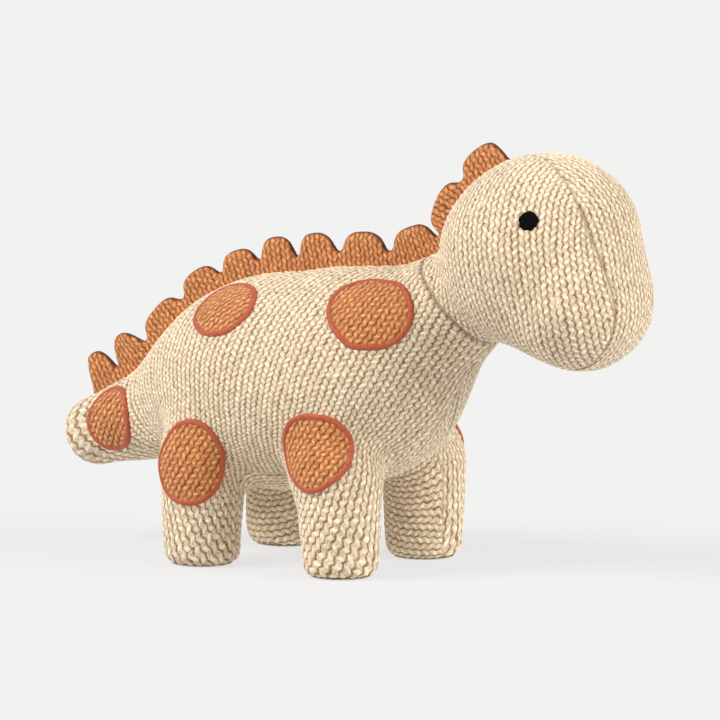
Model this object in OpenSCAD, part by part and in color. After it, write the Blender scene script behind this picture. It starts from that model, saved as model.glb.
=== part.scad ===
// Stuffed knitted dinosaur: a cotton skin sewn from panels round soft filling, with a padded ridge
// along the spine, ten sewn-on patches and two embroidered eyes.
// +X runs towards the nose, +Z is up, and the origin lies on the floor under the middle of the length.

/* [Trunk] */
// Half the length of the barrel of the body
barrel_half_length = 87; // [82:1:92]
// Half the width of the barrel of the body
barrel_half_width = 61; // [57:1:65]
// Half the height of the barrel of the body
barrel_half_height = 57.5; // [54:0.5:60]
// Height of the middle of the barrel above the floor
barrel_height = 94; // [91:1:96]

/* [Head] */
// Half the length of the skull, from nape to forehead
skull_half_length = 56.3; // [54:0.1:60]
// Half the width of the skull
skull_half_width = 48; // [45:1:52]
// Half the height of the skull
skull_half_height = 50; // [46:1:52]
// Furthest nod downwards, in degrees
nod_down = 14; // [5:1:16]
// Furthest lift upwards, in degrees
nod_up = 8; // [4:1:9]

/* [Tail] */
// Radius of the tail at its root
tail_root_r = 27; // [24:1:29]
// Radius of the tail at its tip
tail_tip_r = 17.5; // [15:0.5:19]
// Wag of the tail to each side, in degrees
tail_wag = 18; // [8:1:20]

/* [Legs] */
// Radius of the ball at the top of each leg
leg_ball_r = 22.5; // [21:0.5:23]
// Radius of each leg just above its foot
ankle_r = 20; // [18:0.5:21]
// Radius of the flat sole
sole_r = 15.5; // [13:0.5:16]
// Height of the middle of the hip above the floor
hip_height = 44; // [42:1:46]
// Distance from the middle plane to each hip
hip_side = 41; // [39:1:43]
// Place of the front hips along the body
front_hip_x = 18.5; // [16:0.5:21]
// Place of the rear hips along the body
rear_hip_x = -66.5; // [-70:0.5:-63]
// Swing of each leg forwards and backwards, in degrees
leg_swing = 18; // [8:1:20]

/* [Fabric] */
// Thickness of the knitted skin
knit = 2.2; // [1.8:0.1:2.6]
// Thickness of a sewn-on patch
patch_thick = 1.2; // [0.8:0.1:1.6]
// Width of the satin-stitch border round a patch
border_width = 3.6; // [2.6:0.2:4.6]
// Diameter of an embroidered eye
eye_d = 11; // [9:0.5:13]

/* [Ridge] */
// Thickness of the padded ridge
ridge_thick = 7; // [5:0.5:9]
// Height of the ridge between two bumps
ridge_valley = 8.5; // [6:0.5:10]
// Height of the ridge at the top of a bump
ridge_top = 17.5; // [14:0.5:19]

/* [Hidden] */
$fn = 48;

cream = "#E6D3B3";
filling_white = "#F4F2EC";
terracotta = "#CB7F50";
rust = "#C4633A";
black = "#1C1A1A";

neck_pivot = [72, 0, 144];
neck_angle = 55;
tail_pivot = [-118, 0, 69];
tail_angle = 16;
hinge_gap = 0.3;
stop_gap = 1;
skin_gap = 0.1;
pocket_gap = 0.6;
seam_half = 0.05;
seam_turn = 0.06;

// Axis of the stuffed tube as [x, z, slope in degrees]: the section planes stand square to it.
torso_axis = [
    [tail_pivot.x + hinge_gap, tail_pivot.z, tail_angle], [-100, 77, 13], [-86, 83.5, 10], [-75, 88, 8],
    [-62, 89.5, 6], [-40, 92, 2], [-5, 94, 5], [20, 99, 20], [42, 111, 38], [58, 126, 49],
    [neck_pivot.x - hinge_gap * cos(neck_angle), neck_pivot.z - hinge_gap * sin(neck_angle), neck_angle]
];
head_axis = [
    [neck_pivot.x + hinge_gap * cos(neck_angle), neck_pivot.z + hinge_gap * sin(neck_angle), neck_angle],
    [84, 158, 43], [101, 167, 26], [120, 170, 8], [138, 167, -8], [152, 162, -18], [163, 158, -24],
    [167, 156.5, -24]
];
tail_axis = [
    [-172.3, 53.2, tail_angle], [-170, 54, tail_angle], [-165, 55.4, tail_angle], [-156, 57.9, tail_angle],
    [-144, 61.4, tail_angle], [-131, 65.1, tail_angle],
    [tail_pivot.x - hinge_gap, tail_pivot.z, tail_angle]
];
rings_per_stretch = 2;

// Half width of the belly gusset at each station of the torso
belly_half = [6, 14, 23, 30, 33, 38, 40, 38, 28, 18, 12];

// The face gusset runs round this point; its half width by the direction from it, from throat to crown
face_centre = [125, 0, 165];
face_half = [[-121, 12], [-100, 16], [-70, 22], [-30, 24], [10, 24], [45, 20], [75, 10], [95, 1]];

// Low points between the bumps of the ridge, measured along it from its end on the tail
ridge_lows = [0, 17, 46, 78, 104, 127, 150, 175, 206, 243, 277, 305];

// The ridge starts above this place on the tail and ends in this direction from the middle of the head
ridge_first_x = -160;
ridge_end_direction = 119;

// The stuffed form: smooth unions of ellipsoids and tapered round bars, negative inside.

function smooth_min(a, b, k) =
    let (h = max(0, min(1, 0.5 + 0.5 * (b - a) / k)))
    b * (1 - h) + a * h - k * h * (1 - h);

function ellipsoid(p, centre, radii, pitch = 0) =
    let (
        d = p - centre,
        q = [d.x * cos(pitch) + d.z * sin(pitch), d.y, d.z * cos(pitch) - d.x * sin(pitch)],
        near = norm([q.x / radii.x, q.y / radii.y, q.z / radii.z]),
        steep = norm([q.x / pow(radii.x, 2), q.y / pow(radii.y, 2), q.z / pow(radii.z, 2)])
    )
    near * (near - 1) / max(steep, 1e-6);

function round_bar(p, a, b, ra, rb) =
    let (
        ba = b - a,
        l2 = ba * ba,
        rr = ra - rb,
        a2 = l2 - rr * rr,
        pa = p - a,
        y = pa * ba,
        z = y - l2,
        t = pa * l2 - ba * y,
        x2 = t * t,
        y2 = y * y * l2,
        z2 = z * z * l2,
        k = sign(rr) * rr * rr * x2
    )
    sign(z) * a2 * z2 > k ? sqrt(x2 + z2) / l2 - rb
    : sign(y) * a2 * y2 < k ? sqrt(x2 + y2) / l2 - ra
    : (sqrt(x2 * a2 / l2) + y * rr) / l2 - ra;

function torso_form(p) = smooth_min(
    ellipsoid(p, [-31, 0, barrel_height], [barrel_half_length, barrel_half_width, barrel_half_height], 6),
    ellipsoid(p, [11.5, 0, barrel_height + 8.5], [46, 54, 51.5], -10),
    20
);

function neck_form(p) = round_bar([p.x, p.y * 0.85, p.z], [14, 0, 107], [64, 0, 141], 44, 29.5);

function head_form(p) = smooth_min(
    ellipsoid(p, [115.5, 0, 173], [skull_half_length, skull_half_width, skull_half_height], 30),
    ellipsoid(p, [143, 0, 144.5], [29.5, 42, 32], -30),
    18
);

function tail_form(p) = round_bar(p, [-100, 0, 77], [-155.5, 0, 58.5], tail_root_r, tail_tip_r);

function trunk_form(p) = smooth_min(
    smooth_min(smooth_min(torso_form(p), neck_form(p), 14), head_form(p), 9),
    tail_form(p), 20
);

function leg_form(p, hip_x) =
    let (
        q = [p.x, abs(p.y), p.z],
        fore = hip_x > 0
    )
    smooth_min(
        round_bar(q, [hip_x, hip_side, hip_height + 6], [hip_x, hip_side, 19], leg_ball_r, ankle_r),
        fore
            ? ellipsoid(q, [hip_x - 6, hip_side + 3, hip_height + 17], [22, 16, 26])
            : ellipsoid(q, [hip_x, hip_side + 3, hip_height + 18], [18, 16, 28]),
        8
    );

function body_form(p) = smooth_min(
    smooth_min(trunk_form(p), leg_form(p, front_hip_x), 9),
    leg_form(p, rear_hip_x), 9
);

// The trunk with its hips, cut off under the hips where the legs go in
function hipped_form(p) = max(body_form(p), min(38 + max(abs(p.y) - 20, 0) * 0.2, hip_height) - p.z);

// Distance from o along d to the surface that lies inset inside the form
function reach(o, d, inset, hips, low = 0.5, high = 85, steps = 13) =
    let (
        mid = (low + high) / 2,
        p = o + d * mid,
        f = (hips ? hipped_form(p) : trunk_form(p)) + inset
    )
    steps == 0 ? mid
    : f < 0 ? reach(o, d, inset, hips, mid, high, steps - 1)
    : reach(o, d, inset, hips, low, mid, steps - 1);

function mix(a, b, t) = a * (1 - t) + b * t;

function fine(v, n = rings_per_stretch) = [
    for (i = [0 : len(v) - 2], k = [0 : n - 1]) mix(v[i], v[i + 1], k / n),
    v[len(v) - 1]
];

// Direction of a ray in a section: turn 0 is up, 90 is to the left side and 180 is down.
// Tilts lean the upper half, the lower half and the sides of an end section back from its hinge line.
function ring_ray(slope, turn, tilts) =
    let (
        a = turn < 90 ? slope + tilts[0] : slope - tilts[1],
        up = [-sin(a), 0, cos(a)],
        side = [0, cos(tilts[2]), 0] + [cos(slope), 0, sin(slope)] * sin(tilts[2])
    )
    up * cos(turn) + side * sin(turn);

function ring_point(station, turn, inset, hips, tilts) =
    let (
        o = [station[0], 0, station[1]],
        d = ring_ray(station[2], turn, tilts)
    )
    o + d * reach(o, d, inset, hips);

// Turn at which the surface is w from the middle plane, counted from the top or from the bottom
function turn_at(station, w, hips, from_top, tilts, guess = 0, steps = 4) =
    let (
        turn = from_top ? guess : 180 - guess,
        p = ring_point(station, turn, 0, hips, tilts),
        r = norm(p - [station[0], 0, station[1]])
    )
    steps == 0 ? turn
    : turn_at(station, w, hips, from_top, tilts, asin(min(0.97, w / r)), steps - 1);

no_tilt = [0, 0, 0];
neck_tilt = [nod_up + stop_gap, nod_down + stop_gap, 0];
tail_tilt = [0, 0, tail_wag + stop_gap];

// Only the torso's end sections lean back: they leave room for the head and the tail to move
function end_tilts(i, count, lean) =
    !lean ? no_tilt
    : i == 0 ? tail_tilt
    : i == count ? neck_tilt
    : no_tilt;

ridge_half = ridge_thick / 2 + 4 * skin_gap;

function under_ridge(p) =
    p.x > ridge_first_x
    && (p.x < 60 || atan2(p.z - face_centre.z, p.x - face_centre.x) > ridge_end_direction);

// Turns of a side panel's points, from the ridge down to the gusset, and of the gusset's from there on
function side_turns(station, low, m, hips, tilts) =
    let (
        top = ring_point(station, 0, 0, hips, tilts),
        a = under_ridge(top) ? turn_at(station, ridge_half, hips, true, tilts) : 0,
        b = low > 0 ? turn_at(station, low, hips, false, tilts) : 180
    )
    [for (j = [0 : m]) mix(a + seam_turn, b - seam_turn, j / m)];

function belly_turns(station, low, m, hips, tilts) =
    let (b = turn_at(station, low, hips, false, tilts))
    [for (j = [0 : m]) mix(b + seam_turn, 180, j / m)];

// Sections as lists of [station, tilts, turns of the side panel, turns of the gusset]
function sections(axis, low, m, hips, lean) = [
    for (i = [0 : len(axis) - 1])
        let (tilts = end_tilts(i, len(axis) - 1, lean))
        [
            axis[i],
            tilts,
            side_turns(axis[i], low[i], m, hips, tilts),
            low[i] > 0 ? belly_turns(axis[i], low[i], 4, hips, tilts) : [180]
        ]
];

function side_rows(sections, inset, hips) = [
    for (s = sections) [for (t = s[2]) ring_point(s[0], t, inset, hips, s[1])]
];

function belly_rows(sections, inset, hips) = [
    for (s = sections)
        let (half = [for (t = s[3]) ring_point(s[0], t, inset, hips, s[1])])
        concat(half, [for (j = [len(half) - 2 : -1 : 0]) flipped(half[j])])
];

function whole_rows(sections, inset, hips) = [
    for (s = sections)
        let (
            side = [for (t = s[2]) max(3, min(177, t))],
            low = len(s[3]) > 1 ? [for (j = [1 : len(s[3]) - 2]) s[3][j]] : [],
            half = [for (t = concat(side, low)) ring_point(s[0], t, inset, hips, s[1])],
            top = ring_point(s[0], 0, inset, hips, s[1]),
            bottom = ring_point(s[0], 180, inset, hips, s[1])
        )
        concat([top], half, [bottom], [for (j = [len(half) - 1 : -1 : 0]) flipped(half[j])])
];

function flipped(p) = [p.x, -p.y, p.z];

// From column half on, the other diagonal splits each cell, so that left and right sides match
function grid_faces(rows, cols, first, half, flip) = [
    for (i = [0 : rows - 2], j = [0 : cols - 2])
        let (
            a = first + i * cols + j,
            b = a + 1,
            c = a + cols,
            d = c + 1
        )
        each flip
            ? (j < half ? [[a, c, b], [b, c, d]] : [[a, d, b], [a, c, d]])
            : (j < half ? [[a, b, c], [b, d, c]] : [[a, b, d], [a, d, c]])
];

function edge_faces(loop, shift) = [
    for (k = [0 : len(loop) - 1])
        let (
            a = loop[k],
            b = loop[(k + 1) % len(loop)]
        )
        each [[a, a + shift, b], [b, a + shift, b + shift]]
];

function rim(rows, cols) = concat(
    [for (j = [0 : cols - 2]) j],
    [for (i = [0 : rows - 2]) i * cols + cols - 1],
    [for (j = [cols - 1 : -1 : 1]) (rows - 1) * cols + j],
    [for (i = [rows - 1 : -1 : 1]) i * cols]
);

// A curved sheet between an outer and an inner grid of points
module sheet(outer, inner, both_sides = false) {
    rows = len(outer);
    cols = len(outer[0]);
    half = both_sides ? (cols - 1) / 2 : cols;
    polyhedron(
        points = concat([for (r = outer) each r], [for (r = inner) each r]),
        faces = concat(
            grid_faces(rows, cols, 0, half, false),
            grid_faces(rows, cols, rows * cols, half, true),
            edge_faces(rim(rows, cols), rows * cols)
        )
    );
}

// A closed tube of rings with a fan at each end
module tube(rings, first_cap, last_cap) {
    rows = len(rings);
    cols = len(rings[0]);
    last = (rows - 1) * cols;
    polyhedron(
        points = concat([for (r = rings) each r], [first_cap, last_cap]),
        faces = concat(
            [
                for (i = [0 : rows - 2], j = [0 : cols - 1])
                    let (
                        a = i * cols + j,
                        b = i * cols + (j + 1) % cols,
                        c = a + cols,
                        d = b + cols
                    )
                    each j < cols / 2 ? [[a, b, c], [b, d, c]] : [[a, b, d], [a, d, c]]
            ],
            [for (j = [0 : cols - 1]) [rows * cols, (j + 1) % cols, j]],
            [for (j = [0 : cols - 1]) [rows * cols + 1, last + j, last + (j + 1) % cols]]
        )
    );
}

module mirrored(side) {
    mirror([0, side < 0 ? 1 : 0, 0])
        children();
}

// The space each leg takes as it swings
module leg_sweep() {
    for (side = [-1, 1], x = [front_hip_x, rear_hip_x])
        translate([x, side * hip_side, hip_height]) {
            sphere(r = leg_ball_r + pocket_gap, $fn = 28);
            hull()
                for (a = [-leg_swing, 0, leg_swing])
                    rotate([0, a, 0])
                        translate([0, 0, -60])
                            cylinder(r = leg_ball_r + pocket_gap, h = 60, $fn = 28);
        }
}

// resize() with zeros keeps the size, and keeps the pocketed shape as one mesh
module pocketed() {
    resize([0, 0, 0])
        difference() {
            children();
            leg_sweep();
        }
}

filling_inset = knit + 5 * skin_gap;

torso_sections = sections(fine(torso_axis), fine(belly_half), 10, true, true);

module torso_filling() {
    last = len(torso_sections) - 1;
    color(filling_white)
        pocketed()
            tube(
                whole_rows(torso_sections, filling_inset, true),
                middle(torso_sections[0]),
                middle(torso_sections[last])
            );
}

module side_panel(side) {
    color(cream)
        pocketed()
            mirrored(side)
                sheet(side_rows(torso_sections, 0, true), side_rows(torso_sections, knit, true));
}

module side_panel_right() { side_panel(-1); }
module side_panel_left() { side_panel(1); }

module belly_gusset() {
    color(cream)
        pocketed()
            sheet(belly_rows(torso_sections, 0, true), belly_rows(torso_sections, knit, true), true);
}

function middle(section) = [section[0][0], 0, section[0][1]];

function along(section) = [cos(section[0][2]), 0, sin(section[0][2])];

// Head

head_stations = fine(head_axis);
head_sections = sections(head_stations, [for (s = head_stations) 0], 12, false, false);

// The head as a closed body, inset into its form; its flat end at the neck is drawn out by end
module head_body(inset, end) {
    last = len(head_sections) - 1;
    nose = head_sections[last];
    neck = head_sections[0];
    tube(
        whole_rows(head_sections, inset, false),
        middle(neck) - along(neck) * end,
        middle(nose) + along(nose) * reach(middle(nose), along(nose), inset, false)
    );
}

// The wedge-shaped space over the face gusset, wider by margin on both sides
module face_wedge(margin) {
    n = 26;
    directions = [for (i = [0 : n]) mix(95, -121, i / n)];
    rows = [
        for (r = [90, 12])
            [
                for (a = directions)
                    let (half = lookup(a, face_half) + margin)
                    [for (y = [-half, half]) face_centre + [r * cos(a), y, r * sin(a)]]
            ]
    ];
    sheet(rows[0], rows[1]);
}

module head_filling() {
    color(filling_white)
        head_body(filling_inset, 0);
}

module head_panel(side) {
    color(cream)
        resize([0, 0, 0])
            difference() {
                mirrored(side)
                    sheet(side_rows(head_sections, 0, false), side_rows(head_sections, knit, false));
                face_wedge(seam_half);
            }
}

module head_panel_right() { head_panel(-1); }
module head_panel_left() { head_panel(1); }

module face_gusset() {
    color(cream)
        resize([0, 0, 0])
            intersection() {
                difference() {
                    head_body(0, 0);
                    head_body(knit, 5);
                }
                face_wedge(-seam_half);
            }
}

// Tail

tail_stations = fine(tail_axis);
tail_sections = sections(tail_stations, [for (s = tail_stations) 0], 8, false, false);

module tail_filling() {
    inner = [for (i = [4 : len(tail_sections) - 1]) tail_sections[i]];
    tip = inner[0];
    color(filling_white)
        tube(
            whole_rows(inner, filling_inset, false),
            middle(tip) - along(tip) * reach(middle(tip), -along(tip), filling_inset, false),
            middle(inner[len(inner) - 1])
        );
}

module tail_panel(side) {
    color(cream)
        mirrored(side)
            sheet(side_rows(tail_sections, 0, false), side_rows(tail_sections, knit, false));
}

module tail_panel_right() { tail_panel(-1); }
module tail_panel_left() { tail_panel(1); }

// Ridge: a padded strip that stands on the spine line, with bumps at an even pitch along it

// Spine line from the tail's end to the crown, found by rays that fan out from inside the form
spine_rays = [
    [-152, 60, 16], [-146, 60, 16], [-140, 62, 18], [-134, 64, 22], [-128, 66, 26], [-120, 70, 28],
    [-112, 74, 30], [-104, 78, 30], [-96, 82, 28], [-88, 86, 26], [-80, 88, 24], [-72, 90, 21],
    [-64, 92, 17], [-54, 92, 13], [-44, 92, 9], [-34, 92, 5], [-24, 92, 2], [-14, 94, 1],
    [-4, 94, 1], [6, 96, 2], [16, 98, 3], [26, 102, 5], [36, 108, 8], [46, 116, 16],
    [56, 126, 28], [64, 134, 40], [72, 142, 50], [80, 150, 54], [88, 156, 52], [94, 160, 46],
    [98, 162, 38], [102, 164, 31], [104, 165, 26]
];

function spine_point(i) =
    let (
        s = spine_rays[i],
        o = [s[0], 0, s[1]],
        d = [-sin(s[2]), 0, cos(s[2])]
    )
    o + d * reach(o, d, 0, false);

function running_length(points, i = 1, total = 0, out = [0]) =
    i == len(points) ? out
    : let (next = total + norm(points[i] - points[i - 1]))
      running_length(points, i + 1, next, concat(out, [next]));

function smooth_step(t) = let (u = max(0, min(1, t))) u * u * (3 - 2 * u);

// Height of the ridge at a share of its whole length
function ridge_height(share) =
    let (
        last = len(ridge_lows) - 1,
        t = lookup(share * ridge_lows[last], [for (i = [0 : last]) [ridge_lows[i], i]]),
        peak = 1 - abs(2 * (t - floor(t)) - 1),
        ends = smooth_step(min(share, 1 - share) * 38)
    )
    (ridge_valley + (ridge_top - ridge_valley) * smooth_step(peak / 0.86)) * ends + 0.4;

// Section of the ridge: [share of the half thickness, height] from one foot over the top to the other
function ridge_section(h) =
    let (half = [[1, h * 0.55], [0.7, h * 0.9]])
    concat([[-0.9, -1.7]], [for (c = half) [-c[0], c[1]]], [[0, h]], backwards(half), [[0.9, -1.7]]);

// A stretch of the ridge from one share of its length to another
module ridge(from, to, n) {
    line = [for (i = [0 : len(spine_rays) - 1]) spine_point(i)];
    along = running_length(line);
    whole = along[len(along) - 1];
    xs = [for (i = [0 : len(line) - 1]) [along[i], line[i].x]];
    zs = [for (i = [0 : len(line) - 1]) [along[i], line[i].z]];
    rows = [
        for (k = [0 : n])
            let (
                share = mix(from, to, k / n),
                s = share * whole,
                base = [lookup(s, xs), 0, lookup(s, zs)],
                ahead = [lookup(s + 4, xs) - lookup(s - 4, xs), 0, lookup(s + 4, zs) - lookup(s - 4, zs)],
                up = [-ahead.z, 0, ahead.x] / norm(ahead),
                half = ridge_thick / 2
            )
            [for (c = ridge_section(ridge_height(share))) base + [0, c[0] * half, 0] + up * c[1]]
    ];
    color(terracotta)
        tube(rows, centre_of(rows[0]), centre_of(rows[n]));
}

function centre_of(points) = [for (p = points) 1] * points / len(points);

// Shares of the ridge's length at which it passes from one stretch to the next
ridge_cuts = [0, 0.118, 0.236, 0.7, 0.85, 1];
ridge_cut_gap = 0.0006;

module ridge_stretch(i, n) {
    ridge(ridge_cuts[i] + ridge_cut_gap, ridge_cuts[i + 1] - ridge_cut_gap, n);
}

module ridge_tail() { ridge_stretch(0, 12); }
module ridge_rump() { ridge_stretch(1, 12); }
module ridge_back() { ridge_stretch(2, 50); }
module ridge_nape() { ridge_stretch(3, 16); }
module ridge_crown() { ridge_stretch(4, 16); }

// Eyes and patches lie on the skin: discs and rings laid out round a centre and dropped onto the form.
// A place is [centre, outward direction, half length, half height, narrowing towards the bottom, roll].

eye_place = [[132.2, 41.4, 194.9], [0.22, 0.89, 0.4], eye_d / 2, eye_d / 2, 0, 0];
back_place = [[-57, 34.5, 134.3], [-0.26, 0.55, 0.8], 22, 19, 0, 15];
shoulder_place = [[37.5, 41.7, 139], [0.14, 0.84, 0.52], 24, 20, 0.12, 20];
front_hip_place = [[12.5, 60.8, 66.2], [0, 0.95, 0.2], 20, 21, 0.15, 0];
rear_hip_place = [[-68.5, 62, 58], [-0.22, 0.97, 0.1], 20, 22, 0.08, 12];
tail_place = [[-137.5, 20.5, 67.5], [-0.25, 0.93, 0.12], 15, 17.5, 0, 0];

// The leg moves under the hip patches, so they stand further off
front_hip_rise = 2.8;
rear_hip_rise = 3.2;

function unit(v) = v / norm(v);

// Lifts a point of the layout plane onto the form, then off it by rise
function on_skin(place, u, v, rise) =
    let (
        n = unit(place[1]),
        across = unit(cross([0, 0, 1], n)),
        up = cross(n, across),
        turned = [u * cos(place[5]) - v * sin(place[5]), u * sin(place[5]) + v * cos(place[5])],
        inside = place[0] + across * turned[0] + up * turned[1] - n * 30
    )
    inside + n * (skin_reach(inside, n) + rise);

function skin_reach(o, d, low = 0, high = 60, steps = 13) =
    let (mid = (low + high) / 2)
    steps == 0 ? mid
    : body_form(o + d * mid) < 0 ? skin_reach(o, d, mid, high, steps - 1)
    : skin_reach(o, d, low, mid, steps - 1);

// Outline radius factor: an egg that narrows towards the bottom
function egg(place, angle, inset) =
    let (
        a = place[2] - inset,
        b = place[3] - inset,
        v = b * sin(angle),
        u = a * cos(angle) * (1 + place[4] * sin(angle))
    )
    [u, v];

function patch_ring(place, inset, share, rise, n) = [
    for (k = [0 : n - 1])
        let (e = egg(place, 360 * k / n, inset) * share)
        on_skin(place, e[0], e[1], rise)
];

module patch_disc(place, inset, rise, thick, n = 28) {
    shares = [0.001, 0.35, 0.7, 1];
    tube(
        concat(
            [for (s = shares) patch_ring(place, inset, s, rise + thick, n)],
            [for (i = [3 : -1 : 0]) patch_ring(place, inset, shares[i], rise, n)]
        ),
        on_skin(place, 0, 0, rise + thick),
        on_skin(place, 0, 0, rise)
    );
}

module patch_border(place, rise, n = 28) {
    half = border_width / 2;
    rings = [
        patch_ring(place, border_width, 1, rise, n),
        patch_ring(place, border_width, 1, rise + patch_thick, n),
        patch_ring(place, half, 1, rise + patch_thick + 0.5, n),
        patch_ring(place, 0, 1, rise + patch_thick, n),
        patch_ring(place, 0, 1, rise, n)
    ];
    count = len(rings);
    polyhedron(
        points = [for (r = rings) each r],
        faces = [
            for (i = [0 : count - 1], j = [0 : n - 1])
                let (
                    a = i * n + j,
                    b = i * n + (j + 1) % n,
                    c = ((i + 1) % count) * n + j,
                    d = ((i + 1) % count) * n + (j + 1) % n
                )
                each [[a, b, c], [b, d, c]]
        ]
    );
}

module patch(place, side, rise = 2 * skin_gap) {
    color(terracotta)
        mirrored(side)
            patch_disc(place, border_width + skin_gap, rise, patch_thick);
}

module border(place, side, rise = 2 * skin_gap) {
    color(rust)
        mirrored(side)
            patch_border(place, rise);
}

module back_patch_right() { patch(back_place, -1); }
module back_patch_left() { patch(back_place, 1); }
module back_border_right() { border(back_place, -1); }
module back_border_left() { border(back_place, 1); }
module shoulder_patch_right() { patch(shoulder_place, -1); }
module shoulder_patch_left() { patch(shoulder_place, 1); }
module shoulder_border_right() { border(shoulder_place, -1); }
module shoulder_border_left() { border(shoulder_place, 1); }
module front_hip_patch_right() { patch(front_hip_place, -1, front_hip_rise); }
module front_hip_patch_left() { patch(front_hip_place, 1, front_hip_rise); }
module front_hip_border_right() { border(front_hip_place, -1, front_hip_rise); }
module front_hip_border_left() { border(front_hip_place, 1, front_hip_rise); }
module rear_hip_patch_right() { patch(rear_hip_place, -1, rear_hip_rise); }
module rear_hip_patch_left() { patch(rear_hip_place, 1, rear_hip_rise); }
module rear_hip_border_right() { border(rear_hip_place, -1, rear_hip_rise); }
module rear_hip_border_left() { border(rear_hip_place, 1, rear_hip_rise); }
module tail_patch_right() { patch(tail_place, -1); }
module tail_patch_left() { patch(tail_place, 1); }
module tail_border_right() { border(tail_place, -1); }
module tail_border_left() { border(tail_place, 1); }

module eye(side) {
    color(black)
        mirrored(side)
            patch_disc(eye_place, 0, skin_gap, patch_thick, 24);
}

module eye_right() { eye(-1); }
module eye_left() { eye(1); }

// Legs: a stump with a ball at its top, turned round an upright axis through the hip

rim_r = 6;
skin_top_rise = 22;

// Outline of a leg, inset into it, from the floor up to a height angle on the ball
function leg_outline(inset, top_angle) = concat(
    [[sole_r + skin_gap, inset]],
    [
        for (a = [-60 : 20 : 0])
            [ankle_r - rim_r + (rim_r - inset) * cos(a) - 0.4, rim_r + (rim_r - inset) * sin(a)]
    ],
    [for (a = [0 : 11 : top_angle]) [0, hip_height] + (leg_ball_r - inset) * [cos(a), sin(a)]]
);

function backwards(v) = [for (i = [len(v) - 1 : -1 : 0]) v[i]];

module leg_skin_half(x, side, outer) {
    outside = leg_outline(0, skin_top_rise);
    inside = leg_outline(knit, skin_top_rise);
    color(cream)
        translate([x, side * hip_side, 0])
            rotate([0, 0, (outer ? 1 : -1) * side * 90 - 90 + 0.3])
                rotate_extrude(angle = 179.4)
                    polygon(concat(outside, backwards(inside)));
}

module leg_filling(x, side) {
    color(filling_white)
        translate([x, side * hip_side, 0])
            rotate_extrude()
                polygon(concat(
                    [[0, filling_inset]],
                    leg_outline(filling_inset, 80),
                    [[0, hip_height + leg_ball_r - filling_inset]]
                ));
}

module sole(x, side) {
    color(cream)
        translate([x, side * hip_side, 0])
            cylinder(r = sole_r, h = knit);
}

module front_leg_filling_right() { leg_filling(front_hip_x, -1); }
module front_leg_outer_right() { leg_skin_half(front_hip_x, -1, true); }
module front_leg_inner_right() { leg_skin_half(front_hip_x, -1, false); }
module front_sole_right() { sole(front_hip_x, -1); }
module front_leg_filling_left() { leg_filling(front_hip_x, 1); }
module front_leg_outer_left() { leg_skin_half(front_hip_x, 1, true); }
module front_leg_inner_left() { leg_skin_half(front_hip_x, 1, false); }
module front_sole_left() { sole(front_hip_x, 1); }
module rear_leg_filling_right() { leg_filling(rear_hip_x, -1); }
module rear_leg_outer_right() { leg_skin_half(rear_hip_x, -1, true); }
module rear_leg_inner_right() { leg_skin_half(rear_hip_x, -1, false); }
module rear_sole_right() { sole(rear_hip_x, -1); }
module rear_leg_filling_left() { leg_filling(rear_hip_x, 1); }
module rear_leg_outer_left() { leg_skin_half(rear_hip_x, 1, true); }
module rear_leg_inner_left() { leg_skin_half(rear_hip_x, 1, false); }
module rear_sole_left() { sole(rear_hip_x, 1); }

torso_filling();
side_panel_right();
side_panel_left();
belly_gusset();
head_filling();
head_panel_right();
head_panel_left();
face_gusset();
tail_filling();
tail_panel_right();
tail_panel_left();
ridge_back();
ridge_nape();
ridge_crown();
ridge_rump();
ridge_tail();
eye_right();
eye_left();
front_leg_filling_right();
front_leg_outer_right();
front_leg_inner_right();
front_sole_right();
front_leg_filling_left();
front_leg_outer_left();
front_leg_inner_left();
front_sole_left();
rear_leg_filling_right();
rear_leg_outer_right();
rear_leg_inner_right();
rear_sole_right();
rear_leg_filling_left();
rear_leg_outer_left();
rear_leg_inner_left();
rear_sole_left();
back_patch_right();
back_border_right();
back_patch_left();
back_border_left();
shoulder_patch_right();
shoulder_border_right();
shoulder_patch_left();
shoulder_border_left();
front_hip_patch_right();
front_hip_border_right();
front_hip_patch_left();
front_hip_border_left();
rear_hip_patch_right();
rear_hip_border_right();
rear_hip_patch_left();
rear_hip_border_left();
tail_patch_right();
tail_border_right();
tail_patch_left();
tail_border_left();
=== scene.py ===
"""Knitted stuffed dinosaur: skin, soles, patches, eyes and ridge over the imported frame, floor, light, camera."""

import math

import bpy
import numpy as np
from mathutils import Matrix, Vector


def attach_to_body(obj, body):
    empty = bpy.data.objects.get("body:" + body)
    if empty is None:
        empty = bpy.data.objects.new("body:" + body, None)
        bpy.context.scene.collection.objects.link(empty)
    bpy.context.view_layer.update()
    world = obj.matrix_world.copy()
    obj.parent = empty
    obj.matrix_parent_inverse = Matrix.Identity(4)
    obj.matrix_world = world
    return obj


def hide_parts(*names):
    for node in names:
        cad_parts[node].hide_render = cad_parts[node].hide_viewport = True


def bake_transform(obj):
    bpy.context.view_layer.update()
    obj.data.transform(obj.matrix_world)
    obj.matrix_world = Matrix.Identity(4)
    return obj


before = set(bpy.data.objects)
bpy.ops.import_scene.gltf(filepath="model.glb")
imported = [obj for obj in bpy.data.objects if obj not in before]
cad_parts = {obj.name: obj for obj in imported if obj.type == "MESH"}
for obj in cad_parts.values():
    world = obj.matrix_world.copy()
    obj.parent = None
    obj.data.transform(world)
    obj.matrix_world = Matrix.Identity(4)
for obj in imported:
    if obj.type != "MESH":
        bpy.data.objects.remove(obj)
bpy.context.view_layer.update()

# Sizes in millimetres, as in the CAD model
HIP_SIDE = 41.0
FRONT_HIP = 18.5
REAR_HIP = -66.5
HIP_HEIGHT = 44.0
NECK = (72.0, 0.0, 144.0)
NECK_SLOPE = math.radians(55)
TAIL = (-118.0, 0.0, 69.0)
TAIL_SLOPE = math.radians(16)
SOLE_R = 15.5

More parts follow.
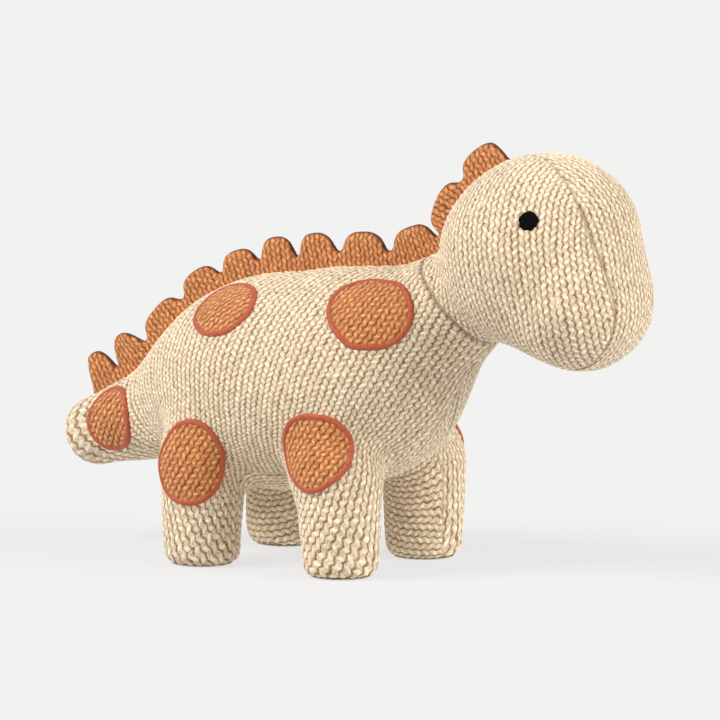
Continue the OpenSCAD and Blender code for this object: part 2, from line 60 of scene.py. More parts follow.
# Knit: width of a stitch and height of a row
STITCH_W = 3.4
STITCH_H = 1.95
RELIEF = 0.7

COARSE = 2.4
SPLIT = 5


# The stuffed form: smooth unions of ellipsoids and tapered round bars, negative inside


def smooth_min(a, b, k):
    h = np.clip(0.5 + 0.5 * (b - a) / k, 0, 1)
    return b * (1 - h) + a * h - k * h * (1 - h)


def ellipsoid(x, y, z, centre, radii, pitch=0.0):
    c, s = math.cos(math.radians(pitch)), math.sin(math.radians(pitch))
    dx, dy, dz = x - centre[0], y - centre[1], z - centre[2]
    u, w = dx * c + dz * s, dz * c - dx * s
    near = np.sqrt((u / radii[0]) ** 2 + (dy / radii[1]) ** 2 + (w / radii[2]) ** 2)
    steep = np.sqrt((u / radii[0] ** 2) ** 2 + (dy / radii[1] ** 2) ** 2 + (w / radii[2] ** 2) ** 2)
    return near * (near - 1) / (steep + 1e-9)


def round_bar(x, y, z, a, b, ra, rb):
    a, b = np.array(a, float), np.array(b, float)
    ba = b - a
    l2 = float(ba @ ba)
    rr = ra - rb
    a2 = l2 - rr * rr
    dx, dy, dz = x - a[0], y - a[1], z - a[2]
    t = dx * ba[0] + dy * ba[1] + dz * ba[2]
    z1 = t - l2
    x2 = (dx * l2 - ba[0] * t) ** 2 + (dy * l2 - ba[1] * t) ** 2 + (dz * l2 - ba[2] * t) ** 2
    y2 = t * t * l2
    z2 = z1 * z1 * l2
    k = np.sign(rr) * rr * rr * x2
    far = np.sqrt(x2 + z2) / l2 - rb
    low = np.sqrt(x2 + y2) / l2 - ra
    mid = (np.sqrt(x2 * a2 / l2) + t * rr) / l2 - ra
    return np.where(np.sign(z1) * a2 * z2 > k, far, np.where(np.sign(t) * a2 * y2 < k, low, mid))


def lumps(x, y, z):
    """Slight unevenness of the filling."""
    total = 0.0
    waves = (
        (0.11, 0.05, 0.07, 0.3),
        (-0.06, 0.12, 0.05, 1.9),
        (0.05, -0.08, 0.13, 4.1),
        (0.16, 0.11, -0.09, 2.2),
    )
    for i, (kx, ky, kz, shift) in enumerate(waves):
        total = total + np.sin(x * kx + y * ky + z * kz + shift + 0.7 * np.sin(x * kz - z * kx + i))
    return 0.16 * total


def leg_form(x, y, z, hip):
    q = np.abs(y)
    leg = round_bar(x, q, z, (hip, HIP_SIDE, 50), (hip, HIP_SIDE, -12), 22.2, 18.8)
    if hip > 0:
        root = ellipsoid(x, q, z, (hip - 8, HIP_SIDE + 3, 61), (21, 16, 26))
    else:
        root = ellipsoid(x, q, z, (hip, HIP_SIDE + 3, 62), (18, 16, 28))
    leg = smooth_min(leg, root, 8)
    h = np.maximum(9 - np.abs(leg + z), 0) / 9
    return np.maximum(leg, -z) + h * h * 9 * 0.25


def form(p):
    x, y, z = p[:, 0], p[:, 1], p[:, 2]
    body = ellipsoid(x, y, z, (-31, 0, 94), (87, 61, 57.5), 6)
    body = smooth_min(body, ellipsoid(x, y, z, (11.5, 0, 102.5), (46, 54, 51.5), -10), 20)
    body = smooth_min(body, round_bar(x, y * 0.85, z, (14, 0, 107), (64, 0, 141), 42.6, 28.2), 14)
    head = ellipsoid(x, y, z, (114.8, 0, 173.2), (55.4, 48, 49.2), 30)
    head = smooth_min(head, ellipsoid(x, y, z, (143.8, 0, 144), (29.5, 42, 32), -30), 18)
    body = smooth_min(body, head, 9)
    body = smooth_min(body, round_bar(x, y, z, (-100, 0, 77), (-155.8, 0, 58.2), 27, 18), 20)
    body = smooth_min(body, leg_form(x, y, z, FRONT_HIP), 9)
    body = smooth_min(body, leg_form(x, y, z, REAR_HIP), 9)
    body = body + lumps(x, np.abs(y), z) * np.clip(z / 12, 0, 1)
    return np.maximum(body, -z)


def slope_of(field, p, e=0.05):
    out = np.empty_like(p)
    for axis in range(3):
        step = np.zeros(3)
        step[axis] = e
        out[:, axis] = (field(p + step) - field(p - step)) / (2 * e)
    return out


def settle(p, times=1):
    """Moves points onto the form and returns them with the form's outward normals."""
    for _ in range(times):
        g = slope_of(form, p)
        p = p - g * (form(p) / np.maximum((g * g).sum(1), 1e-6))[:, None]
    g = slope_of(form, p)
    return p, g / np.maximum(np.linalg.norm(g, axis=1), 1e-6)[:, None]


# Seams, each a field that is zero along it


def neck_seam(p):
    return (p[:, 0] - 50) * 0.745 + (p[:, 2] - 164.6) * 0.667 - 4.5 * (p[:, 1] / 34) ** 2


def face_seam(p):
    turn = np.degrees(np.arctan2(p[:, 2] - 165, p[:, 0] - 125))
    half = np.interp(
        turn,
        (-150, -140, -121, -100, -70, -40, -18, 0, 18, 35, 55, 75, 92, 112, 130),
        (-20, 10, 10, 12, 15, 17.5, 18.5, 20, 22.5, 25, 24.5, 19, 10, 0, -10),
    )
    return half - np.abs(p[:, 1])


def belly_seam(p):
    x, z = p[:, 0], p[:, 2]
    half = np.interp(
        x,
        (-172, -150, -118, -100, -88, -78, -55, -30, 0, 10, 28, 40, 50, 60, 75, 98),
        (-8, 0, 6, 14, 30, 41, 41, 39, 39, 41, 41, 26, 12, 4, -4, -12),
    )
    middle = np.interp(x, (-172, -118, -75, -5, 42, 72, 98), (53, 69, 88, 94, 111, 144, 160))
    return half - np.abs(p[:, 1]) - 2 * np.maximum(0, z - middle)


def middle_seam(p):
    return p[:, 1]


def sole_seam(p):
    hip = np.where(p[:, 0] > -20, FRONT_HIP, REAR_HIP)
    edge = SOLE_R - np.hypot(p[:, 0] - hip, np.abs(p[:, 1]) - HIP_SIDE)
    return np.where(p[:, 2] < 6, edge, -20)


SIDE_R, SIDE_L, BELLY, HEAD_R, HEAD_L, FACE, SOLE = range(7)
SEAMS = {
    frozenset((SIDE_R, SIDE_L)): middle_seam,
    frozenset((HEAD_R, HEAD_L)): middle_seam,
    frozenset((SIDE_R, BELLY)): belly_seam,
    frozenset((SIDE_L, BELLY)): belly_seam,
    frozenset((HEAD_R, FACE)): face_seam,
    frozenset((HEAD_L, FACE)): face_seam,
}
for a in (SIDE_R, SIDE_L, BELLY):
    for b in (HEAD_R, HEAD_L, FACE):
        SEAMS[frozenset((a, b))] = neck_seam
    SEAMS[frozenset((a, SOLE))] = sole_seam


# How deep each seam's groove is; the same depth also sets the painted shade in the seam crease
DEPTH = {sole_seam: 0.6, middle_seam: 0.5, belly_seam: 0.3, face_seam: 0.9, neck_seam: 1.6}


def panel_of(p):
    body = np.where(belly_seam(p) > 0, BELLY, np.where(p[:, 1] < 0, SIDE_R, SIDE_L))
    head = np.where(face_seam(p) > 0, FACE, np.where(p[:, 1] < 0, HEAD_R, HEAD_L))
    out = np.where(neck_seam(p) > 0, head, body)
    return np.where(sole_seam(p) > 0, SOLE, out)


# Meshing of the form


def surface_net(field, low, high, step):
    """Quads over the zero surface of a field, one corner in each cell that it crosses."""
    axes = [np.arange(a, b + step, step) for a, b in zip(low, high)]
    shape = tuple(len(a) for a in axes)
    grid = np.stack(np.meshgrid(*axes, indexing="ij"), -1).reshape(-1, 3)
    value = field(grid).reshape(shape)
    grid = grid.reshape(shape + (3,))
    inside = value < 0
    cells = tuple(n - 1 for n in shape)
    total = np.zeros(cells + (3,))
    count = np.zeros(cells)
    for axis in range(3):
        a = tuple(slice(0, -1) if i == axis else slice(None) for i in range(3))
        b = tuple(slice(1, None) if i == axis else slice(None) for i in range(3))
        crossed = inside[a] != inside[b]
        gap = value[a] - value[b]
        t = np.where(crossed, value[a] / np.where(gap == 0, 1, gap), 0)
        point = grid[a] + (grid[b] - grid[a]) * t[..., None]
        others = [i for i in range(3) if i != axis]
        for shift_a in (0, 1):
            for shift_b in (0, 1):
                source = [slice(None)] * 3
                target = [slice(None)] * 3
                for o, shift in zip(others, (shift_a, shift_b)):
                    source[o] = slice(1, None) if shift else slice(0, -1)
                    target[o] = slice(None)
                c = crossed[tuple(source)]
                total[tuple(target)] += np.where(c[..., None], point[tuple(source)], 0)
                count[tuple(target)] += c
    has = count > 0
    index = -np.ones(cells, int)
    index[has] = np.arange(has.sum())
    corners = total[has] / count[has][:, None]
    quads = []
    for axis in range(3):
        a = tuple(slice(0, -1) if i == axis else slice(None) for i in range(3))
        b = tuple(slice(1, None) if i == axis else slice(None) for i in range(3))
        o1, o2 = [i for i in range(3) if i != axis]
        edge = np.argwhere(inside[a] != inside[b])
        ok = (edge[:, o1] > 0) & (edge[:, o2] > 0)
        ok &= (edge[:, o1] < cells[o1]) & (edge[:, o2] < cells[o2])
        edge = edge[ok]
        around = []
        for d1, d2 in ((1, 1), (0, 1), (0, 0), (1, 0)):
            j = edge.copy()
            j[:, o1] -= d1
            j[:, o2] -= d2
            around.append(index[j[:, 0], j[:, 1], j[:, 2]])
        quad = np.stack(around, -1)
        keep = inside[a][edge[:, 0], edge[:, 1], edge[:, 2]]
        if axis == 1:
            keep = ~keep
        quad[~keep] = quad[~keep][:, ::-1]
        quads.append(quad)
    return corners, np.concatenate(quads)


def relaxed(p, quads, free, rounds, share=0.5):
    """Evens out the free corners along the form."""
    pairs = np.concatenate([quads[:, [i, (i + 1) % 4]] for i in range(4)])
    for _ in range(rounds):
        total = np.zeros_like(p)
        count = np.zeros(len(p))
        for a, b in ((0, 1), (1, 0)):
            for axis in range(3):
                total[:, axis] += np.bincount(pairs[:, a], p[pairs[:, b], axis], len(p))
            count += np.bincount(pairs[:, a], minlength=len(p))
        mean = total / np.maximum(count, 1)[:, None]
        moved = p + (mean - p) * share
        moved[~free] = p[~free]
        p, _ = settle(moved)
    return p


def snapped(p, corner_sets):
    """Moves corners that lie between panels onto the seams."""
    for _ in range(5):
        for seam, rows in corner_sets.items():
            q = p[rows]
            g = slope_of(seam, q, 0.2)
            n = slope_of(form, q)
            n /= np.linalg.norm(n, axis=1)[:, None]
            g -= n * (g * n).sum(1)[:, None]
            step = seam(q) / np.maximum((g * g).sum(1), 0.05)
            size = np.abs(step) * np.linalg.norm(g, axis=1)
            step *= np.minimum(1, 2.5 / np.maximum(size, 1e-6))
            p[rows] = q - g * step[:, None]
        p, _ = settle(p)
    return p


def refined(quads, values, n):
    """Splits each quad into n by n; values is a list of per-corner arrays to carry over."""
    count = int(quads.max()) + 1
    pair = np.sort(np.stack([quads, np.roll(quads, -1, 1)], -1), -1).reshape(-1, 2)
    edges, back = np.unique(pair[:, 0] * count + pair[:, 1], return_inverse=True)
    back = back.reshape(-1, 4)
    ea, eb = edges // count, edges % count
    m = n - 1
    face_start = count + len(edges) * m
    grid = np.empty((len(quads), n + 1, n + 1), int)
    grid[:, 0, 0], grid[:, 0, n], grid[:, n, n], grid[:, n, 0] = quads.T
    k = np.arange(m)
    for side in range(4):
        first = quads[:, side]
        forward = ea[back[:, side]] == first
        order = np.where(forward[:, None], k[None], k[::-1][None])
        ids = count + back[:, side][:, None] * m + order
        if side == 0:
            grid[:, 0, 1:n] = ids
        elif side == 1:
            grid[:, 1:n, n] = ids
        elif side == 2:
            grid[:, n, 1:n] = ids[:, ::-1]
        else:
            grid[:, 1:n, 0] = ids[:, ::-1]
    inner = np.arange(len(quads) * m * m).reshape(len(quads), m, m) + face_start
    grid[:, 1:n, 1:n] = inner
    new = np.stack([grid[:, :-1, :-1], grid[:, :-1, 1:], grid[:, 1:, 1:], grid[:, 1:, :-1]], -1)
    new = new.reshape(-1, 4)
    out = []
    t = np.arange(1, n) / n
    for v in values:
        v = v.reshape(count, -1)
        on_edges = v[ea][:, None] * (1 - t)[None, :, None] + v[eb][:, None] * t[None, :, None]
        c = v[quads]
        r, s = t[:, None, None], t[None, :, None]
        weights = ((1 - r) * (1 - s), (1 - r) * s, r * s, r * (1 - s))
        inside = sum(w[None] * c[:, i][:, None, None] for i, w in enumerate(weights))
        out.append(np.concatenate([v, on_edges.reshape(-1, v.shape[1]), inside.reshape(-1, v.shape[1])]))
    return new, out


def compact(quads, values):
    used, inverse = np.unique(quads, return_inverse=True)
    return inverse.reshape(quads.shape), [v[used] for v in values]


def make_mesh(name, points, faces, normals=None, uv=None, floats=None, material=None):
    """Points in millimetres; uv, normals and floats are given per point."""
    mesh = bpy.data.meshes.new(name)
    size = faces.shape[1]
    mesh.vertices.add(len(points))
    mesh.vertices.foreach_set("co", (points * 0.001).astype(np.float32).ravel())
    mesh.loops.add(faces.size)
    mesh.loops.foreach_set("vertex_index", faces.ravel().astype(np.int32))
    mesh.polygons.add(len(faces))
    mesh.polygons.foreach_set("loop_start", np.arange(0, faces.size, size, dtype=np.int32))
    mesh.polygons.foreach_set("use_smooth", np.ones(len(faces), bool))
    if uv is not None:
        layer = mesh.uv_layers.new(name="knit")
        layer.data.foreach_set("uv", uv[faces.ravel()].astype(np.float32).ravel())
    for key, value in (floats or {}).items():
        attribute = mesh.attributes.new(key, "FLOAT", "POINT")
        attribute.data.foreach_set("value", value.astype(np.float32))
    mesh.update(calc_edges=True)
    if normals is not None:
        mesh.normals_split_custom_set_from_vertices(normals.astype(np.float32))
    if material is not None:
        mesh.materials.append(material)
    obj = bpy.data.objects.new(name, mesh)
    bpy.context.scene.collection.objects.link(obj)
    return obj


def point_normals(p, faces):
    """Smooth normals, weighted by face area."""
    n = np.cross(p[faces[:, 2]] - p[faces[:, 0]], p[faces[:, 3 % faces.shape[1]]] - p[faces[:, 1]])
    out = np.zeros_like(p)
    for i in range(faces.shape[1]):
        for axis in range(3):
            out[:, axis] += np.bincount(faces[:, i], n[:, axis], len(p))
    return out / np.maximum(np.linalg.norm(out, axis=1), 1e-9)[:, None]


def flat_pattern(p, quads, grain_at, grain):
    """Lays a panel flat with little stretch, in millimetres, with grain running along v at grain_at."""
    obj = make_mesh("pattern", p, quads)
    bpy.context.view_layer.objects.active = obj
    obj.select_set(True)
    obj.data.uv_layers.new(name="flat")
    bpy.ops.object.mode_set(mode="EDIT")
    bpy.ops.mesh.select_all(action="SELECT")
    bpy.ops.uv.unwrap(method="MINIMUM_STRETCH", margin=0.0, iterations=12)
    bpy.ops.object.mode_set(mode="OBJECT")
    raw = np.empty(quads.size * 2, np.float32)
    obj.data.uv_layers["flat"].data.foreach_get("uv", raw)
    raw = raw.reshape(-1, 2).astype(float)
    uv = np.zeros((len(p), 2))
    uv[quads.ravel()] = raw
    bpy.data.objects.remove(obj)
    q, w = p[quads], uv[quads]
    area = np.linalg.norm(np.cross(q[:, 2] - q[:, 0], q[:, 3] - q[:, 1]), axis=1).sum()
    one, other = w[:, 2] - w[:, 0], w[:, 3] - w[:, 1]
    turn = one[:, 0] * other[:, 1] - one[:, 1] * other[:, 0]
    uv *= math.sqrt(area / max(abs(turn.sum()), 1e-12))
    if turn.sum() < 0:
        uv[:, 0] *= -1
    near = np.linalg.norm(q.mean(1) - np.array(grain_at), axis=1) < 25
    e = np.concatenate([(q[:, 1] - q[:, 0])[near], (q[:, 2] - q[:, 1])[near]])
    w = uv[quads]
    f = np.concatenate([(w[:, 1] - w[:, 0])[near], (w[:, 2] - w[:, 1])[near]])
    jacobian = np.linalg.lstsq(e, f, rcond=1e-3)[0]
    direction = np.array(grain) @ jacobian
    a = math.atan2(direction[0], direction[1])
    c, s = math.cos(a), math.sin(a)
    return np.stack([uv[:, 0] * c - uv[:, 1] * s, uv[:, 0] * s + uv[:, 1] * c], -1)


# Knitting


def wobble(u, v, scale, seed):
    """Smooth even noise between -1 and 1."""
    a = np.sin(u * scale + seed + 1.3 * np.sin(v * scale * 0.7 + seed * 2))
    b = np.sin(v * scale * 1.1 + seed * 3 + 1.1 * np.sin(u * scale * 0.9 + seed))
    return 0.5 * (a + b)


def hashed(i, j, seed):
    h = np.sin(i * 127.1 + j * 311.7 + seed * 74.7) * 43758.5453
    return h - np.floor(h)


def dome(d):
    return np.sqrt(np.maximum(d, 0))


def seed_stitch(u, v, seed=0.0):
    """Height from 0 to 1 of seed-stitch knit at a place in millimetres, and each stitch's own shade."""
    u = u + 0.35 * wobble(u, v, 0.21, seed) + 0.12 * wobble(v, u, 0.9, seed + 1)
    v = v + 0.22 * wobble(v, u, 0.17, seed + 2) + 0.12 * wobble(u, v, 0.8, seed + 3)
    b = v / STITCH_H
    # Stitches slant one way in one row and the other way in the next
    a = u / STITCH_W + 0.15 * (2 * np.abs(np.mod(b + 0.5, 2) - 1) - 1)
    height = np.zeros_like(a)
    pit = np.zeros_like(a)
    shade = np.full_like(a, 0.5)
    i0, j0 = np.floor(a + 0.5), np.floor(b + 0.5)
    for di in (-1, 0, 1):
        for dj in (-1, 0, 1):
            i, j = i0 + di, j0 + dj
            tone = hashed(i, j, seed + 5)
            x = a - i + 0.16 * (hashed(i, j, seed) - 0.5)
            y = b - j + 0.26 * (hashed(i, j, seed + 1) - 0.5)
            purl = np.mod(i + j, 2) < 0.5
            wide = np.where(purl, 0.48, 0.66)
            tall = np.where(purl, 0.9 + 0.2 * tone, 0.74)
            r = np.abs(x) / wide
            h = tall * dome(1 - r * r * r - (y / 0.67) ** 2)
            hole = np.exp(-(((np.abs(x) - 0.43) / 0.13) ** 2) - (y / 0.34) ** 2)
            split = 0.7 * np.exp(-((x / 0.14) ** 2) - (y / 0.30) ** 2)
            hole = np.where(purl, hole, np.maximum(hole, split))
            strength = 0.45 + 0.55 * np.mod(tone * 7.3 + 0.5 * (x > 0), 1)
            pit = np.maximum(pit, strength * hole)
            better = h > height
            height = np.where(better, h, height)
            shade = np.where(better, tone, shade)
    return np.clip(height * (1 - pit), 0, 1), shade


# Materials


def nodes_of(name):
    material = bpy.data.materials.new(name)
    material.use_nodes = True
    tree = material.node_tree
    return material, tree, tree.nodes["Principled BSDF"]


def add(tree, kind, links=None, **settings):
    node = tree.nodes.new(kind)
    for key, value in settings.items():
        setattr(node, key, value)
    for socket, source in (links or {}).items():
        if hasattr(source, "is_output"):
            tree.links.new(source, node.inputs[socket])
        else:
            node.inputs[socket].default_value = source
    return node


def srgb(text):
    out = []
    for i in (0, 2, 4):
        c = int(text[i : i + 2], 16) / 255
        out.append(c / 12.92 if c <= 0.04045 else ((c + 0.055) / 1.055) ** 2.4)
    return (*out, 1.0)


def knit_material(name, deep, gap, body, top, sheen=0.25):
    """Knitted yarn: dark between the stitches, partly brown marl and partly painted shade in the gaps, with
    mottled fibres on them and painted shade in the seam creases.
    """
    material, tree, shader = nodes_of(name)
    height = add(tree, "ShaderNodeAttribute", attribute_name="stitch")
    shade = add(tree, "ShaderNodeAttribute", attribute_name="shade")
    seam = add(tree, "ShaderNodeAttribute", attribute_name="seam")
    place = add(tree, "ShaderNodeTexCoord")
    # Colour by stitch height, from the deep colour in the gaps to the top colour on the stitches: the gap colours
    # are partly brown marl yarn and partly painted shade between the stitches
    ramp = add(tree, "ShaderNodeValToRGB", {"Fac": height.outputs["Fac"]})
    stops = ramp.color_ramp.elements
    stops[0].position, stops[0].color = 0.0, deep
    stops[1].position, stops[1].color = 1.0, top
    for position, colour in ((0.22, gap), (0.58, body)):
        stop = stops.new(position)
        stop.color = colour
    where = {"Vector": place.outputs["Object"]}
    fibre = add(tree, "ShaderNodeTexNoise", {**where, "Scale": 1500.0, "Detail": 3.0, "Roughness": 0.7})
    marl = add(tree, "ShaderNodeTexNoise", {**where, "Scale": 420.0, "Detail": 2.0, "Roughness": 0.6})
    broad = add(tree, "ShaderNodeTexNoise", {**where, "Scale": 22.0, "Detail": 2.0})
    total = None
    for source, low, high in (
        (fibre.outputs["Fac"], 0.84, 1.14),
        (marl.outputs["Fac"], 0.80, 1.16),
        (broad.outputs["Fac"], 0.96, 1.03),
        (shade.outputs["Fac"], 0.93, 1.05),
        # Painted shade: up to 30% darker in the seam creases, from the seam attribute
        (seam.outputs["Fac"], 1.0, 0.7),
    ):
        a, b = (0.3, 0.7) if source.node.type == "TEX_NOISE" else (0.0, 1.0)
        ranges = {"Value": source, "From Min": a, "From Max": b, "To Min": low, "To Max": high}
        part = add(tree, "ShaderNodeMapRange", ranges)
        if total is None:
            total = part.outputs["Result"]
        else:
            factors = {0: total, 1: part.outputs["Result"]}
            total = add(tree, "ShaderNodeMath", factors, operation="MULTIPLY").outputs[0]
    tint = add(tree, "ShaderNodeVectorMath", {0: ramp.outputs["Color"], "Scale": total}, operation="SCALE")
    tree.links.new(tint.outputs[0], shader.inputs["Base Color"])
    bump = add(tree, "ShaderNodeBump", {"Height": fibre.outputs["Fac"], "Strength": 0.55, "Distance": 0.0004})
    tree.links.new(bump.outputs[0], shader.inputs["Normal"])
    shader.inputs["Roughness"].default_value = 0.92
    shader.inputs["Sheen Weight"].default_value = sheen
    shader.inputs["Sheen Roughness"].default_value = 0.5
    shader.inputs["Specular IOR Level"].default_value = 0.2
    return material


def thread_material(name, dark, light, sheen, rough, gloss):
    """Satin stitch: fine parallel threads across the piece, from the thread attribute, with painted shade
    darkening the grooves between the threads.
    """
    material, tree, shader = nodes_of(name)
    thread = add(tree, "ShaderNodeAttribute", attribute_name="stitch")
    place = add(tree, "ShaderNodeTexCoord")
    where = {"Vector": place.outputs["Object"]}
    noise = add(tree, "ShaderNodeTexNoise", {**where, "Scale": 900.0, "Detail": 3.0})
    factors = {0: thread.outputs["Fac"], 1: noise.outputs["Fac"]}
    both = add(tree, "ShaderNodeMath", factors, operation="MULTIPLY")
    ramp = add(tree, "ShaderNodeValToRGB", {"Fac": both.outputs[0]})
    ramp.color_ramp.elements[0].position, ramp.color_ramp.elements[0].color = 0.05, dark
    ramp.color_ramp.elements[1].position, ramp.color_ramp.elements[1].color = 0.6, light
    tree.links.new(ramp.outputs["Color"], shader.inputs["Base Color"])
    bump = add(tree, "ShaderNodeBump", {"Height": both.outputs[0], "Strength": 0.4, "Distance": 0.0003})
    tree.links.new(bump.outputs[0], shader.inputs["Normal"])
    shader.inputs["Roughness"].default_value = rough
    shader.inputs["Sheen Weight"].default_value = sheen
    shader.inputs["Specular IOR Level"].default_value = gloss
    return material


# Palettes from deepest to lightest: the deep and gap colours are partly brown marl yarn and partly painted shade
# between the stitches
cream = (srgb("5C3E26"), srgb("9E7B56"), srgb("E1CDAD"), srgb("F6E8D0"))
orange = (srgb("4E200A"), srgb("8A4820"), srgb("C88350"), srgb("E0A674"))
CREAM = knit_material("cream_cotton_knit", *cream)
ORANGE = knit_material("orange_cotton_knit", *orange, 0.15)
SATIN = thread_material("rust_satin_stitch", srgb("7E2E12"), srgb("C4603A"), 0.2, 0.55, 0.3)
BLACK = thread_material("black_satin_stitch", srgb("010101"), srgb("060606"), 0.0, 0.8, 0.08)


# Which part of the skin follows which body

TORSO_TO_TAIL = (-math.cos(TAIL_SLOPE), 0.0, -math.sin(TAIL_SLOPE))


def zones():
    """Each moving body's bend: where it starts and ends on a straight line."""
    out = {}
    n = (math.cos(NECK_SLOPE), 0.0, math.sin(NECK_SLOPE))
    out["head"] = ([c - 20 * d for c, d in zip(NECK, n)], n, 40.0)
    out["tail"] = ([c - 12 * d for c, d in zip(TAIL, TORSO_TO_TAIL)], TORSO_TO_TAIL, 26.0)
    for end, hip in (("front", FRONT_HIP), ("rear", REAR_HIP)):
        for side, sign in (("right", -1), ("left", 1)):
            out[f"{end}_leg_{side}"] = ((hip, sign * 30.5, 42.5), (0.0, sign * 0.39, -0.921), 22.0)
    return out


ZONES = zones()


def share_of(p, body):
    start, direction, length = ZONES[body]
    return (p - np.array(start)) @ np.array(direction) / length


def bend(obj):
    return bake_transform(obj)


def leg_near(p):
    end = np.where(p[:, 0] > -20, 0, 2)
    return end + np.where(p[:, 1] < 0, 0, 1)


LEGS = ["front_leg_right", "front_leg_left", "rear_leg_right", "rear_leg_left"]


def skin_pieces(name, points, faces, normals, uv, floats, material):
    """Cuts a panel where bodies meet: each part rides on one body, and the parts between two bodies stay where
    they are, on no body.
    """
    middle = points[faces].mean(1)
    label = np.full(len(faces), "torso", dtype=object)
    corner_share = {body: share_of(points, body) for body in ZONES}
    leg = leg_near(middle)
    groups = {}
    taken = np.zeros(len(faces), bool)
    for k, body in enumerate(LEGS):
        s = corner_share[body][faces]
        mine = (leg == k) & (middle[:, 2] < 60) & (s.max(1) > 0)
        groups[(body, "bend")] = mine & (s.min(1) < 1)
        groups[(body, "ride")] = mine & (s.min(1) >= 1)
        taken |= mine
    for body in ("head", "tail"):
        s = corner_share[body][faces]
        mine = ~taken & (s.max(1) > 0)
        groups[(body, "bend")] = mine & (s.min(1) < 1)
        groups[(body, "ride")] = mine & (s.min(1) >= 1)
        taken |= mine
    groups[("torso", "ride")] = ~taken
    made = []
    for (body, how), rows in groups.items():
        if rows.sum() < 4:
            continue
        part, values = compact(faces[rows], [points, normals, uv, *floats.values()])
        label = f"{name}_knit" if body == "torso" else f"{name}_{body}_{how}"
        carried = dict(zip(floats, values[3:]))
        obj = make_mesh(label, values[0], part, values[1], values[2], carried, material)
        if how == "bend":
            bend(obj)
        else:
            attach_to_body(obj, body)
        made.append((body, how, obj))
    return made


def seam_distance(p, panel):
    """Distance to the panel's nearest seam and how deep that seam is drawn in."""
    near = np.where(p[:, 2] < 6, np.abs(sole_seam(p)), 99.0)
    depth = np.full(len(p), DEPTH[sole_seam])
    for pair, seam in SEAMS.items():
        if panel in pair and seam is not sole_seam:
            away = np.abs(seam(p))
            depth = np.where(away < near, DEPTH[seam], depth)
            near = np.minimum(near, away)
    return near, depth


EYES = np.array([[132.7, -41.2, 194.8], [132.7, 41.2, 194.8]])


def build_skin():
    corners, quads = surface_net(form, (-178, -70, -3), (180, 70, 230), COARSE)
    corners, _ = settle(corners, 2)
    everywhere = np.ones(len(corners), bool)
    corners = relaxed(corners, quads, everywhere, 3)
    panel = panel_of(corners[quads].mean(1))
    touching = np.zeros((len(corners), 7), bool)
    for i in range(4):
        touching[quads[:, i], panel] = True
    between = touching.sum(1) > 1
    sets = {}
    for pair, seam in SEAMS.items():
        a, b = tuple(pair)
        rows = np.nonzero(touching[:, a] & touching[:, b])[0]
        if len(rows):
            old = sets.get(seam)
            sets[seam] = rows if old is None else np.union1d(old, rows)
    corners = snapped(corners, sets)
    corners = relaxed(corners, quads, ~between, 2)
    grains = {
        SIDE_R: ((-30, -60, 95), (0.12, 0, 1), "side_panel_right"),
        BELLY: ((-25, 0, 35), (1, 0, 0), "belly_gusset"),
        HEAD_R: ((125, -47, 170), (-0.12, 0, 1), "head_panel_right"),
        FACE: ((172, 0, 165), (0, 0, 1), "face_gusset"),
    }
    made = {}
    for which, (grain_at, grain, name) in grains.items():
        part, (p,) = compact(quads[panel == which], [corners])
        uv = flat_pattern(p, part, grain_at, grain)
        dense, (p, uv) = refined(part, [p, uv], SPLIT)
        slope = slope_of(form, p)
        steep = (slope * slope).sum(1)[:, None]
        p = p - slope * form(p)[:, None] / steep
        n = slope / np.sqrt(steep)
        sides = [(name, 1)]
        if which in (SIDE_R, HEAD_R):
            sides.append((name.replace("right", "left"), -1))
        height, shade = seed_stitch(uv[:, 0], uv[:, 1], seed=which * 1.7)
        distance, depth = seam_distance(p, which)
        calm = np.clip((distance - 0.1) / 0.7, 0, 1)
        height = height * calm + 0.5 * (1 - calm)
        # The groove dents the skin at the seam and, carried as the seam attribute, is also painted as shade in the
        # seam crease
        groove = depth * np.exp(-((distance / 0.9) ** 2))
        roll = depth * np.exp(-(((distance - 2.4) / 1.6) ** 2))
        lift = RELIEF * (height - 0.55) - 0.9 * groove + 0.3 * roll
        if which == HEAD_R:
            far = np.linalg.norm(p - EYES[0], axis=1)
            lift -= 0.9 * np.exp(-((far / 6.5) ** 2))
        flat = np.clip(p[:, 2] / 1.5, 0, 1)
        lift = np.where(lift > 0, lift * flat, lift)
        q = p + n * lift[:, None]
        q[:, 2] = np.maximum(q[:, 2], 0.05)
        floats = {"stitch": height, "shade": shade, "seam": groove}
        for side_name, sign in sides:
            points = q * np.array([1, sign, 1])
            faces = dense if sign == 1 else dense[:, ::-1]
            normals = point_normals(points, faces)
            made[side_name] = skin_pieces(side_name, points, faces, normals, uv, floats, CREAM)
    return made


made = build_skin()


